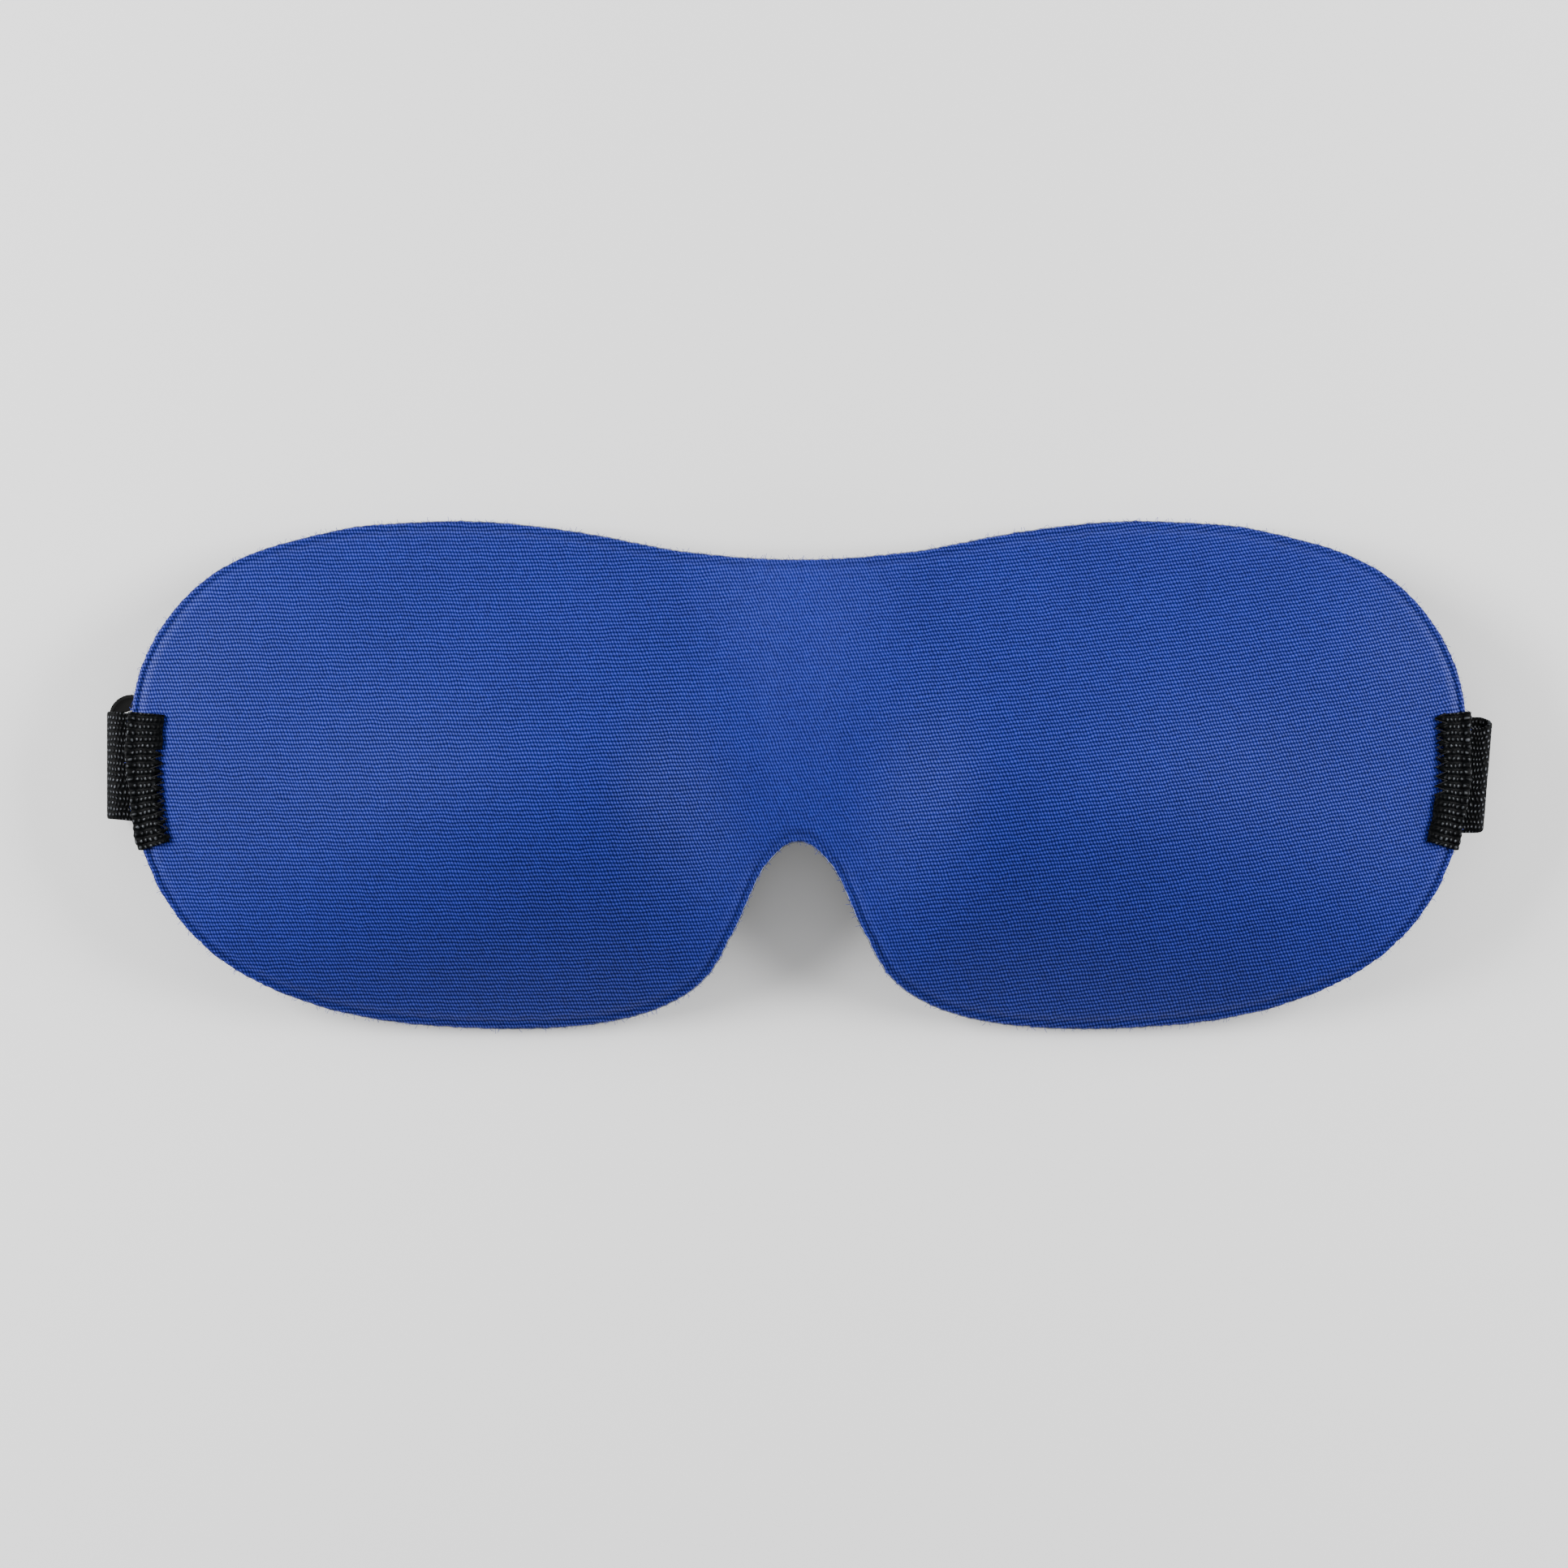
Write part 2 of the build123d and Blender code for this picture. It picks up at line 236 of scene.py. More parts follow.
def columns_of(half, side, outset):
    """Rows of points from the edge to the middle line, for one half of the outline."""
    normal, middle = inward(half, side), middle_line(COLUMNS)
    normal[0] = (0, normal[0][1] / abs(normal[0][1]))
    normal[-1] = (-1, 0)
    wander = cut_wander(len(half), UPPER_SEED if side > 0 else LOWER_SEED)[:, None]
    moved = outset + wander
    rows = [half + normal * (step - moved * (1 - smooth(step / OUTSET_FADE))) for step in RIM_STEPS]
    start = rows[-1]
    for k in range(1, INNER_ROWS + 1):
        rows.append(start + (middle - start) * (k / INNER_ROWS))
    return np.array(rows)


edge_points = [(s * p[0], p[1]) for half in (upper_half, lower_half) for p in half for s in (1, -1)]
edge_tree = KDTree(len(edge_points))
for n, (x, y) in enumerate(edge_points):
    edge_tree.insert((x, y, 0), n)
edge_tree.balance()


def edge_distance(rows):
    """Distance of every point of a plan from the cut edge."""
    found = [edge_tree.find((p[0], p[1], 0))[2] for p in rows.reshape(-1, 2)]
    distance = np.array(found).reshape(rows.shape[:2])
    for k, step in enumerate(RIM_STEPS):
        distance[k] = step
    return distance


def ring_plan(outset=0.0):
    """Rows that go all the way round the mask, and their distance from the edge."""
    upper, lower = columns_of(upper_half, 1, outset), columns_of(lower_half, -1, outset)
    flip = np.array([-1, 1])
    right = [upper, lower[:, -2:0:-1]]
    left = [lower[:, :1] * flip, (lower * flip)[:, 1:], (upper * flip)[:, -2:0:-1]]
    rows = np.concatenate(right + left, axis=1)
    return rows, edge_distance(rows)


print("rows x columns:", ring_plan()[0].shape[:2])

# %% [markdown]
# ## Turning plans into closed layers
# Each layer of the sandwich is a closed shell: its upper face, its lower face and the narrow cut wall
# between them. Solidify could do this, but the three layers must meet exactly, so both faces are computed.

# %% Layer builder
COURSE_CLIMB, CLIMB_FROM = 0.00058, -60.0
FOAM_OUTSET, LINING_OUTSET = 0.12, 0.2  # how far the foam and the lining stand out past the knit


def shown_piece(name, mesh, body):
    """Shows a mesh as a smooth piece, and notes the body that it rides on."""
    mesh.polygons.foreach_set("use_smooth", [True] * len(mesh.polygons))
    piece = show(bpy.data.objects.new(name, mesh))
    piece["ride_on"] = body
    return piece


def new_mesh(name, points_mm, faces, body, uv):
    """A piece made in metres from points in millimetres. uv holds one point per vertex."""
    mesh = bpy.data.meshes.new(name)
    mesh.from_pydata([tuple(float(v) * MM for v in p) for p in points_mm], [], faces)
    cloth = mesh.uv_layers.new(name="cloth")
    order = np.zeros(len(mesh.loops), np.int32)
    mesh.loops.foreach_get("vertex_index", order)
    cloth.data.foreach_set("uv", (np.asarray(uv, float) * MM)[order].ravel())
    return shown_piece(name, mesh, body)


def cloth_uv(x, y):
    """Lengthwise and crosswise place on the knit: its courses climb a little towards the right temple."""
    return np.stack([x, y - COURSE_CLIMB * np.maximum(x - CLIMB_FROM, 0) ** 2], axis=-1)


def layer(name, top, bottom, outset=0.0):
    """Closed shell between two height formulas."""
    rows, edge = ring_plan(outset)
    count, around = rows.shape[:2]
    x, y = rows[..., 0], rows[..., 1]
    upper = np.stack([x, y, top(x, y, edge)], axis=-1).reshape(-1, 3)
    lower = np.stack([x, y, bottom(x, y, edge)], axis=-1).reshape(-1, 3)
    points = np.concatenate([upper, lower])
    half = count * around
    faces = []
    for r in range(count - 1):
        for c in range(around):
            a, b = r * around + c, r * around + (c + 1) % around
            faces.append((a, b, b + around, a + around))
            faces.append((half + a, half + a + around, half + b + around, half + b))
    faces += [(c, half + c, half + (c + 1) % around, (c + 1) % around) for c in range(around)]
    piece = new_mesh(name, points, faces, "mask", cloth_uv(points[:, 0], points[:, 1]))
    from_edge = piece.data.attributes.new("edge_mm", "FLOAT", "POINT")
    from_edge.data.foreach_set("value", np.concatenate([edge.ravel(), edge.ravel()]))
    close_seams(piece)
    return piece


def close_seams(piece, reach=0.02):
    """Merges the doubled points down the middle and turns every face outwards."""
    work = bmesh.new()
    work.from_mesh(piece.data)
    bmesh.ops.remove_doubles(work, verts=work.verts, dist=reach * MM)
    bmesh.ops.dissolve_degenerate(work, dist=1e-7, edges=work.edges)
    bmesh.ops.recalc_face_normals(work, faces=work.faces)
    open_edges = sum(1 for e in work.edges if len(e.link_faces) != 2)
    work.to_mesh(piece.data)
    work.free()
    print(piece.name, len(piece.data.polygons), "faces, open edges:", open_edges)


# %% The three layers of the sandwich
def knit_bottom(x, y, edge):
    return front(x, y, edge) - KNIT


def lining_top(x, y, edge):
    return back(x, y, edge) + LINING


def foam_top(x, y, edge):
    return knit_bottom(x, y, edge) - GLUE_GAP


def foam_bottom(x, y, edge):
    return lining_top(x, y, edge) + GLUE_GAP


outer_fabric = layer("knit_front", front, knit_bottom)
foam_core = layer("foam_body", foam_top, foam_bottom, FOAM_OUTSET)
lining_fabric = layer("knit_lining", lining_top, back, LINING_OUTSET)

# %% [markdown]
# ## Elastic as a ribbon
# Every elastic here is a flat woven band that follows a line seen from its edge. One builder takes that
# line for each thread across the width, so a fold may lean. Its long edges are thinner, as a woven selvedge
# is, and its UV map is in real lengths, so that the weave keeps its size round a fold.

# %% Ribbon builder
SELVEDGE = (0.45, 0.85, 1.0)  # share of the thickness in the first, second and further rows
CLOSE_REACH = 0.001


def arc(cx, cz, radius, from_deg, to_deg, count=14):
    """Points on an arc in X and Z."""
    turn = np.radians(np.linspace(from_deg, to_deg, count))
    return [(cx + radius * math.cos(a), cz + radius * math.sin(a)) for a in turn]


def band_faces(rows, cols):
    """Faces of a flat closed band: top and bottom grids, its two long walls and its two ends."""
    half = rows * cols
    faces = []
    for r in range(rows - 1):
        for c in range(cols - 1):
            a = r * cols + c
            faces.append((a, a + 1, a + cols + 1, a + cols))
            faces.append((half + a, half + a + cols, half + a + cols + 1, half + a + 1))
    for c in range(cols - 1):
        a, b = c, (rows - 1) * cols + c
        faces.append((a, half + a, half + a + 1, a + 1))
        faces.append((b, b + 1, half + b + 1, half + b))
    for r in range(rows - 1):
        a, b = r * cols, r * cols + cols - 1
        faces.append((a, a + cols, half + a + cols, half + a))
        faces.append((b, half + b, half + b + cols, b + cols))
    return faces


def ribbon(name, line_at, widths, thick, body, step=0.45, shift_at=None):
    """Band whose edge-on line is line_at(y). shift_at moves a part of the line along Y."""
    length = max(run_length(line_at(y)) for y in (widths[0], widths[-1]))
    count = max(12, int(length / step))
    along = np.linspace(0, length, count + 1)
    top, bottom, uv = [], [], []
    for n, y in enumerate(widths):
        line = spaced(np.array(line_at(y), float), count)
        run = np.gradient(line, axis=0)
        run /= np.linalg.norm(run, axis=1)[:, None]
        normal = np.stack([-run[:, 1], run[:, 0]], axis=1)
        from_border = min(n, len(widths) - 1 - n)
        half = thick / 2 * SELVEDGE[min(from_border, 2)]
        shift = np.array([shift_at(s, y) for s in along]) if shift_at else np.zeros(count + 1)
        for target, side in ((top, 1), (bottom, -1)):
            place = line + side * half * normal
            target.append(np.stack([place[:, 0], y + shift, place[:, 1]], axis=1))
        uv.append(np.stack([along, np.full(count + 1, y)], axis=1))
    points = np.concatenate([np.array(top).reshape(-1, 3), np.array(bottom).reshape(-1, 3)])
    uv = np.concatenate([np.array(uv).reshape(-1, 2)] * 2)
    piece = new_mesh(name, points, band_faces(len(widths), count + 1), body, uv)
    close_seams(piece, CLOSE_REACH)
    return piece


def across(low, high, first=0.15, inner=0.5, count=26):
    """Places across a band, closer together at its two edges."""
    middle = np.linspace(low + inner, high - inner, count)
    return np.concatenate([[low, low + first], middle, [high - first, high]])


# %% [markdown]
# ## Left loop, head strap and slider loop
# The left loop holds the ring. The strap is sewn behind the right tab, folds back, runs under the mask to
# the ring, turns round its free bar and returns to the slider. The ring leans, so the turn leans with it.

# %% Strap and loops
ring_low, ring_high = box_mm("strap_ring")
slider_low, slider_high = box_mm("strap_slider")
RUN_Z, FOLD_X, SEWN_X, SEWN_TOP = 4.2, run_high[0], 110.5, 6.5
ANCHOR_Z = 0.6  # underside of the left loop
RUN_START = -100.0  # where the two layers of the strap leave the ring's turn
RING_CENTRE = (ring_low + ring_high) / 2
RING_LEAN = math.radians(15.0)
BAR_OFFSET, BAR_RADIUS, PLAY = 2.05, 0.75, 0.33
FOLD_LEAN, FOLD_LEAN_FROM, FOLD_DEPTH = 0.085, 8.5, 0.9
DROOP, DROOP_FROM, DROOP_TO = 0.1, 100, -90
STRAP_SET_LOW, CORNER_SET_LOW, LOOP_SET_HIGH = -1.5, 0.5, 1.0
strap_places = across(run_low[1], run_high[1])


def slot_line(y, offset):
    """X of a line along the ring's slot, counted from the near side of the anchored bar."""
    bar = RING_CENTRE[0] - BAR_OFFSET / math.cos(RING_LEAN) - (y - RING_CENTRE[1]) * math.tan(RING_LEAN)
    return bar + BAR_RADIUS / math.cos(RING_LEAN) + offset


def anchor_line(y):
    """Left loop: from the seam over the ring's bar, round the fold, and up through the slot."""
    middle, radius, top = (ANCHOR_Z + SEWN_TOP) / 2, (SEWN_TOP - ANCHOR_Z - ANCHOR) / 2, SEWN_TOP - ANCHOR / 2
    fold = arc(-(FOLD_X - radius - ANCHOR / 2), middle, radius, 90, 270)
    up = slot_line(y, PLAY + ANCHOR / 2)
    rise = [(up - 0.9, 1.0), (up - 0.25, 1.15), (up, 1.8), (up, 3.8), (up + 0.3, 4.9)]
    rise += [(up + 1.0, top - ANCHOR)]
    return [(-SEWN_X, top)] + fold + rise + [(-SEWN_X, top - ANCHOR)]


def strap_line(y):
    """Head strap: sewn end, right fold, single run, and the turn round the ring's bar."""
    lean = FOLD_LEAN * (FOLD_LEAN_FROM - y)
    top, middle = SEWN_TOP - STRAP / 2, (RUN_Z + SEWN_TOP - STRAP / 2) / 2
    fold = arc(FOLD_X - STRAP / 2 - FOLD_DEPTH - lean, middle, top - middle, 90, -90, 12)
    turn_radius = (RUN_Z - STRAP / 2) / 2
    turn_x = slot_line(y, 2 * PLAY + ANCHOR + STRAP / 2) + turn_radius
    ring_turn = arc(turn_x, RUN_Z - turn_radius, turn_radius, 90, 270)
    span = DROOP_FROM - DROOP_TO
    places = np.linspace(DROOP_FROM, DROOP_TO, 24)
    run = [(x, RUN_Z - DROOP * math.sin(math.pi * (DROOP_FROM - x) / span) ** 2) for x in places]
    sewn = [(SEWN_X, top), (117.0, top)]
    return sewn + fold + [(116.0, RUN_Z)] + run + ring_turn + [(RUN_START, STRAP / 2)]


def strap_shift(s, y):
    """The sewn end is set a little low, and the band swings back as it goes round the fold."""
    settle = 1 - float(smooth((s - 9.5) / 5.0))
    corner = float(smooth((s - 4.0) / 7.0)) * float(smooth((y - 2.0) / 7.0))
    return (STRAP_SET_LOW - CORNER_SET_LOW * corner) * settle


def anchor_shift(s, y):
    """The left loop sits a little high."""
    return LOOP_SET_HIGH * float(smooth(1 - abs(s - 13.0) / 13.0))


def doubled_line(y):
    """Returning layer: straight along the surface."""
    return [(doubled_low[0], STRAP / 2), (doubled_high[0], STRAP / 2)]


doubled_low, doubled_high = box_mm("strap_doubled_run")
anchor_loop = ribbon("elastic_ring_loop", anchor_line, strap_places, ANCHOR, "mask", shift_at=anchor_shift)
head_strap = ribbon("elastic_head_strap", strap_line, strap_places, STRAP, "mask", shift_at=strap_shift)
doubled_run = ribbon("elastic_doubled_run", doubled_line, strap_places, STRAP, "mask", step=1.5)

# %% Slider loop
SLIDER_X = (slider_low[0] + slider_high[0]) / 2
slider_loop_low, slider_loop_high = box_mm("strap_slider_loop")


def slider_loop_line(y):
    """The strap's end comes in along the surface, goes round the middle bar and lies back on itself."""
    radius = (slider_loop_high[2] - STRAP) / 2
    turn = slider_loop_high[0] - radius - STRAP / 2
    low, high = STRAP / 2, 1.5 * STRAP  # middles of the two sewn layers
    entry = [(slider_loop_low[0], low), (SLIDER_X - 3, low)]
    fall = [(SLIDER_X - 3, 2 * radius + low), (SLIDER_X - 5.5, 2 * radius - 0.1)]
    fall += [(SLIDER_X - 8.2, high + 0.05)]
    return entry + arc(turn, radius + low, radius, -90, 90) + fall + [(slider_loop_low[0] + 0.3, high)]


slider_loop = ribbon("elastic_slider_loop", slider_loop_line, strap_places, STRAP, "slider")

# %% [markdown]
# ## Edge tabs
# A tab is a short piece of ribbed elastic folded over the rim at the temple. Its section is a U that fits
# the pressed edge, so it is built from the same outline and height formulas. The ribs are real relief.

# %% Tabs
tab_low, tab_high = box_mm("left_edge_tab")
TAB_TOP, TAB_BOTTOM = tab_high[1], tab_low[1]
LEFT_WIDTHS, RIGHT_WIDTHS = (6.2, 5.3), (5.7, 5.4)  # reach over the front at the upper and lower end
RIB, RIB_RELIEF = 1.2, 0.10
STITCH, TOOTH = 1.6, 1.35  # pitch of the zigzag, and how deep it bites into the tab's border
LEFT_STITCHED, RIGHT_STITCHED = (3.5, -10.9), (10.4, -3.2)
TAB_SLICES = 300
TAB_ENDS = (0.5, 0.8, 0.95, 1.0)  # share of the thickness in the first slices from either end
LEG = np.linspace(1, 0.06, 9)  # places along one leg of the U, as shares of its width
CAP_DEGREES, CAP_RUN, CAP_ROUNDNESS = 75, 1.6, 0.7
CAP = np.radians(np.linspace(CAP_DEGREES, -CAP_DEGREES, 9))  # directions round the rim
BORDER_DROP = 0.35  # the thread pulls the border down


def temple_edge(side, count=TAB_SLICES):
    """Cut edge of one temple between the tab's ends, with its inward directions."""
    right = np.concatenate([upper_half[:-1], lower_half[::-1]])
    run = right[(right[:, 1] < TAB_TOP + 2) & (right[:, 1] > TAB_BOTTOM - 2) & (right[:, 0] > 60)]
    normal = np.gradient(run, axis=0)
    normal = np.stack([normal[:, 1], -normal[:, 0]], axis=1)
    normal /= np.linalg.norm(normal, axis=1)[:, None]
    y = np.linspace(TAB_TOP, TAB_BOTTOM, count)
    x = np.interp(-y, -run[:, 1], run[:, 0])
    nx, ny = np.interp(-y, -run[:, 1], normal[:, 0]), np.interp(-y, -run[:, 1], normal[:, 1])
    return np.stack([side * x, y], axis=1), np.stack([side * nx, ny], axis=1)


def on_front(point, lift):
    """Height over the front at a place in plan."""
    distance = edge_tree.find((point[0], point[1], 0))[2]
    return float(front(point[0], point[1], np.float64(distance))) + lift


def border_cut(y, stitched):
    """How far the tab's inner border is pulled in between two stitches, 0 at the tip of each tooth."""
    first, last = stitched
    if not last - STITCH / 2 < y < first + STITCH / 2:
        return 0.0
    place = ((first - y) / STITCH) % 1.0
    return TOOTH * min(1.0, 1.1 * (1 - abs(2 * place - 1)))


def tab_slice(point, normal, side, share, skin, width, stitched):
    """One U-shaped slice: out along the front, round the edge, in along the back, and back inside it."""
    rib = RIB_RELIEF * math.cos(2 * math.pi * (TAB_TOP - point[1]) / RIB)
    wander = 0.12 * math.sin(5.1 * share + side) + 0.07 * math.sin(37 * share)
    bulge = 0.22 * math.sin(11 * share + 2 * side) + 0.10 * math.sin(29 * share)
    cut = border_cut(point[1], stitched)
    place, runs = [], []

    def front_leg(leg, lift):
        p = point + normal * ((width - cut) * leg + wander)
        place.append((p[0], p[1], on_front(p, lift)))
        runs.append(width - (width - cut) * leg)

    def back_leg(leg, drop):
        p = point + normal * width * leg
        place.append((p[0], p[1], float(back(p[0], p[1], 0)) - drop))
        runs.append(width + 2 * CAP_RUN + width * leg)

    for leg in LEG:
        front_leg(leg, skin + rib * float(smooth((1 - leg) / 0.25)) - BORDER_DROP * (leg > 0.99))
    top_z, low_z = place[-1][2], float(rim_height(point[0], point[1])) - skin
    middle, reach = (top_z + low_z) / 2, (top_z - low_z) / 2
    for a in CAP:
        p = point - normal * ((skin + 0.5 * rib + bulge) * math.cos(a) ** CAP_ROUNDNESS)
        place.append((p[0], p[1], middle + reach * math.sin(a)))
        runs.append(width + CAP_RUN * (CAP_DEGREES - math.degrees(a)) / CAP_DEGREES)
    for leg in LEG[::-1]:
        back_leg(leg, skin)
    for leg in LEG:
        back_leg(leg, GLUE_GAP)
    for leg in LEG[::-1]:
        front_leg(leg, GLUE_GAP)
    return place, runs


def tab_faces(count, around):
    """Faces between slices, and those that close the first and the last slice."""
    faces = []
    for n in range(count - 1):
        for k in range(around):
            a, b = n * around + k, n * around + (k + 1) % around
            faces.append((a, b, b + around, a + around))
    for row, order in ((0, 1), ((count - 1) * around, -1)):
        for k in range(2 * len(LEG) + len(CAP) - 1):
            faces.append((row + k, row + k + 1, row + around - 2 - k, row + around - 1 - k)[::order])
    return faces


def tab(name, side, widths, stitched):
    """Elastic folded over the rim of one temple."""
    edge, normal = temple_edge(side)
    count = len(edge)
    points, uv = [], []
    for n in range(count):
        share = n / (count - 1)
        width = widths[0] + (widths[1] - widths[0]) * share
        skin = TAB * TAB_ENDS[min(n, count - 1 - n, 3)]
        place, runs = tab_slice(edge[n], normal[n], side, share, skin, width, stitched)
        points += place
        uv += [(run, edge[n][1]) for run in runs]
    piece = new_mesh(name, points, tab_faces(count, len(points) // count), "mask", uv)
    close_seams(piece, CLOSE_REACH)
    return piece


left_tab = tab("elastic_left_tab", -1, LEFT_WIDTHS, LEFT_STITCHED)
right_tab = tab("elastic_right_tab", 1, RIGHT_WIDTHS, RIGHT_STITCHED)

# %% [markdown]
# ## Zigzag seams, with Geometry Nodes
# A machine zigzag is one thread that swings from side to side as it goes along a line. A node tree makes it
# from a guide line: it takes points at half the pitch, moves every second one inwards, and wraps the result
# in a tube. Pitch, reach and thread size are inputs, so one tree serves every seam.

# %% Seam tree
TAB_THREAD, BARTACK_THREAD = 0.24, 0.16  # radius of each thread


def group_input(tree, name, kind, value=None):
    """A named input of a node tree; its identifier is what a modifier sets."""
    socket = tree.interface.new_socket(name=name, in_out="INPUT", socket_type=kind)
    if value is not None:
        socket.default_value = value
    return socket.identifier


def add(tree, kind, inputs=None, **settings):
    """Adds one node, sets its settings, and sets or links its inputs."""
    made = tree.nodes.new(kind)
    for key, value in settings.items():
        setattr(made, key, value)
    for key, value in (inputs or {}).items():
        if isinstance(value, bpy.types.NodeSocket):
            tree.links.new(value, made.inputs[key])
        else:
            made.inputs[key].default_value = value
    return made


def maths(tree, operation, *values):
    """One sum on numbers or sockets."""
    return add(tree, "ShaderNodeMath", dict(enumerate(values)), operation=operation).outputs[0]


def start_tree(name, inputs, result):
    """A tree that is given a guide line and named values: itself, its identifiers, values and line."""
    tree = bpy.data.node_groups.new(name, "GeometryNodeTree")
    tree.interface.new_socket(name="Guide", in_out="INPUT", socket_type="NodeSocketGeometry")
    ids = {label: group_input(tree, label, kind, value) for label, kind, value in inputs}
    tree.interface.new_socket(name=result, in_out="OUTPUT", socket_type="NodeSocketGeometry")
    given = add(tree, "NodeGroupInput").outputs
    return tree, ids, given, add(tree, "GeometryNodeMeshToCurve", {"Mesh": given["Guide"]}).outputs[0]


def end_tree(tree, geometry, material, result):
    """Makes every instance real and sets its material."""
    real = add(tree, "GeometryNodeRealizeInstances", {"Geometry": geometry})
    dressed = add(tree, "GeometryNodeSetMaterial", {"Geometry": real.outputs[0], "Material": material})
    add(tree, "NodeGroupOutput", {result: dressed.outputs[0]})


def wire_section(tree, sides, radius):
    section = {"Resolution": sides, "Radius": radius}
    return add(tree, "GeometryNodeCurvePrimitiveCircle", section, mode="RADIUS").outputs[0]


def seam_tree():
    """Guide line in, zigzag thread out."""
    inputs = [
        ("Half pitch", "NodeSocketFloat", 0.8 * MM),
        ("Reach", "NodeSocketVector", (0, 0, 0)),
        ("Thread radius", "NodeSocketFloat", TAB_THREAD * MM),
        ("Thread", "NodeSocketMaterial", None),
    ]
    tree, ids, given, line = start_tree("zigzag_seam", inputs, "Seam")
    spacing = {"Curve": line, "Length": given["Half pitch"]}
    even = add(tree, "GeometryNodeResampleCurve", spacing, mode="LENGTH").outputs[0]
    odd = maths(tree, "MODULO", add(tree, "GeometryNodeInputIndex").outputs[0], 2.0)
    swing = add(tree, "ShaderNodeVectorMath", {0: given["Reach"], "Scale": odd}, operation="SCALE").outputs[0]
    moved = add(tree, "GeometryNodeSetPosition", {"Geometry": even, "Offset": swing}).outputs[0]
    section = wire_section(tree, 8, given["Thread radius"])
    sweep = {"Curve": moved, "Profile Curve": section, "Fill Caps": True}
    tube = add(tree, "GeometryNodeCurveToMesh", sweep).outputs[0]
    end_tree(tree, tube, given["Thread"], "Seam")
    return tree, ids


zigzag, zigzag_inputs = seam_tree()


def grown(name, guide, tree, values, body):
    """Runs a node tree on a guide and keeps the result as a plain mesh."""
    modifier = guide.modifiers.new("grow", "NODES")
    modifier.node_group = tree
    for key, value in values.items():
        modifier[key] = value
    guide.update_tag()
    shown = guide.evaluated_get(bpy.context.evaluated_depsgraph_get())
    mesh = bpy.data.meshes.new_from_object(shown)
    mesh.name = name
    guide.modifiers.clear()
    bpy.data.objects.remove(guide)
    print(name, len(mesh.polygons), "faces")
    return shown_piece(name, mesh, body)


def guide_line(name, points_mm):
    """An open line of edges, for a node tree to follow."""
    mesh = bpy.data.meshes.new(name)
    edges = [(i, i + 1) for i in range(len(points_mm) - 1)]
    mesh.from_pydata([tuple(v * MM for v in p) for p in points_mm], edges, [])
    return show(bpy.data.objects.new(name, mesh))


# %% [markdown]
# ## Materials
# One function adds a node with its settings and links. Colours are written as sRGB hex, as a dyer's chart
# would give them, and turned to the linear values that Blender works in.

# %% Colour and shader helpers
def linear(hex_colour):
    """sRGB hex to linear colour."""
    parts = [int(hex_colour[i : i + 2], 16) / 255 for i in (1, 3, 5)]
    return tuple(c / 12.92 if c <= 0.04045 else ((c + 0.055) / 1.055) ** 2.4 for c in parts) + (1.0,)


def new_material(name, **settings):
    """A material with an empty tree but for its shader and output."""
    material = bpy.data.materials.new(name)
    material.use_nodes = True
    tree = material.node_tree
    tree.nodes.clear()
    shader = add(tree, "ShaderNodeBsdfPrincipled", settings)
    add(tree, "ShaderNodeOutputMaterial", {"Surface": shader.outputs[0]})
    return material, tree, shader


def wave(tree, value, pitch, phase=None):
    """A smooth ripple from 0 to 1 with the given pitch, in millimetres."""
    turn = maths(tree, "MULTIPLY", value, 2 * math.pi / (pitch * MM))
    if phase is not None:
        turn = maths(tree, "ADD", turn, phase)
    return maths(tree, "MULTIPLY_ADD", maths(tree, "SINE", turn), 0.5, 0.5)


def product(tree, a, b):
    return maths(tree, "MULTIPLY", a, b)


def mixed(tree, share, first, second):
    """Blend of two colours."""
    inputs = {0: share, 6: linear(first), 7: linear(second)}
    return add(tree, "ShaderNodeMix", inputs, data_type="RGBA").outputs[2]


def ramp(tree, value, low, high, low_at, high_at):
    """Linear step of a value from low to high between two places."""
    inputs = {"Value": value, "From Min": low_at, "From Max": high_at, "To Min": low, "To Max": high}
    return add(tree, "ShaderNodeMapRange", inputs).outputs[0]


def noise(tree, place, scale, detail):
    return add(tree, "ShaderNodeTexNoise", {"Vector": place, "Scale": scale, "Detail": detail}).outputs


def unsteady(tree, place, scale, detail, reach):
    """A place on the cloth, moved a little by noise so that rows aren't ruled lines."""
    colour = noise(tree, place, scale, detail)["Color"]
    shift = add(tree, "ShaderNodeVectorMath", {0: colour, 1: (0.5, 0.5, 0.5)}, operation="SUBTRACT")
    shift = add(tree, "ShaderNodeVectorMath", {0: shift.outputs[0], "Scale": reach * MM}, operation="SCALE")
    return add(tree, "ShaderNodeVectorMath", {0: place, 1: shift.outputs[0]}, operation="ADD").outputs[0]


def colour_between(tree, shader, share, dark, light):
    """Base colour between two colours, by a share from 0 to 1; the knits and the elastic paint shade and
    highlight with it.
    """
    tree.links.new(mixed(tree, share, dark, light), shader.inputs["Base Color"])


def relief(tree, shader, height, strength, depth):
    """Fine relief, with its depth in millimetres."""
    bump = add(tree, "ShaderNodeBump", {"Height": height, "Strength": strength, "Distance": depth * MM})
    tree.links.new(bump.outputs[0], shader.inputs["Normal"])


# %% [markdown]
# ### Blue warp-knit polyester with spandex
# A fine tricot, heat-set over the foam. The eye sees dark yarn with a soft sheen on top of each loop, fine
# horizontal courses, and small differences from stitch to stitch. The base colour is darker in the gaps
# between the loops and lighter on their tops, a painted shade and a painted highlight; the tops also get a
# higher specular level. The real courses are 0.57 mm apart and the wales 0.4 mm. They are drawn 0.68 and
# 0.52 mm apart, because finer ones don't show.

# %% Blue knit
COURSE, WALE = 0.68, 0.52


